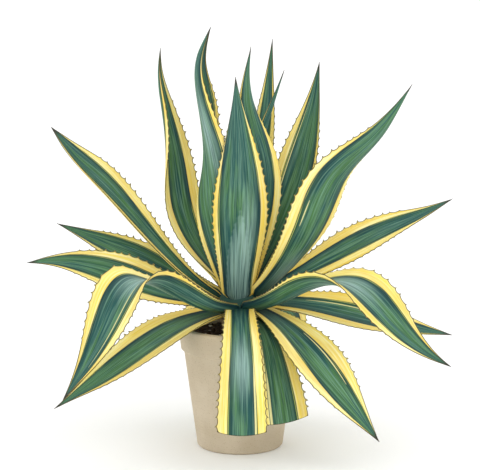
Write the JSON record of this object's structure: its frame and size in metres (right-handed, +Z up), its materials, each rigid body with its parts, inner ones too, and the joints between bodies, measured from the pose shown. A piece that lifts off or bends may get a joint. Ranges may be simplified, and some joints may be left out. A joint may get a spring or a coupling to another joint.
{
  "type": "potted century plant",
  "caption": "Variegated century plant: a rosette of long toothed, spine-tipped leaves with yellow margins on a short stem, in a plain clay pot filled with soil.",
  "frame": {"origin": "middle of the pot's flat underside", "axes": "+Z up; the side that the picture shows faces -Y; +X to the right in the picture"},
  "size_m": [1.0103, 0.7705, 0.9902],
  "materials": {
    "clay": "matte",
    "soil": "matte",
    "stem": "matte",
    "leaf": "satin"
  },
  "bodies": {
    "root": {"pot": "clay", "soil": "soil", "stem": "stem", "leaf_youngest": "leaf", "leaf_upright_back": "leaf", "leaf_upright_middle": "leaf", "leaf_upright_front": "leaf", "leaf_tallest": "leaf", "leaf_upright_left": "leaf", "leaf_upright_right": "leaf", "leaf_leaning_right": "leaf", "leaf_leaning_left": "leaf", "leaf_spreading_right": "leaf", "leaf_back_middle_upper": "leaf", "leaf_back_right_upper": "leaf", "leaf_back_left_upper": "leaf", "leaf_spreading_left_upper": "leaf", "leaf_spreading_left_lower": "leaf", "leaf_back_right_lower": "leaf", "leaf_back_left_lower": "leaf", "leaf_back_middle_lower": "leaf", "leaf_arching_left": "leaf", "leaf_arching_right": "leaf", "leaf_level_right": "leaf", "leaf_drooping_left": "leaf", "leaf_trimmed_front": "leaf", "leaf_drooping_right": "leaf", "leaf_trimmed_right": "leaf", "leaf_back_hanging_left": "leaf", "leaf_back_hanging_right": "leaf"}
  },
  "joints": []
}
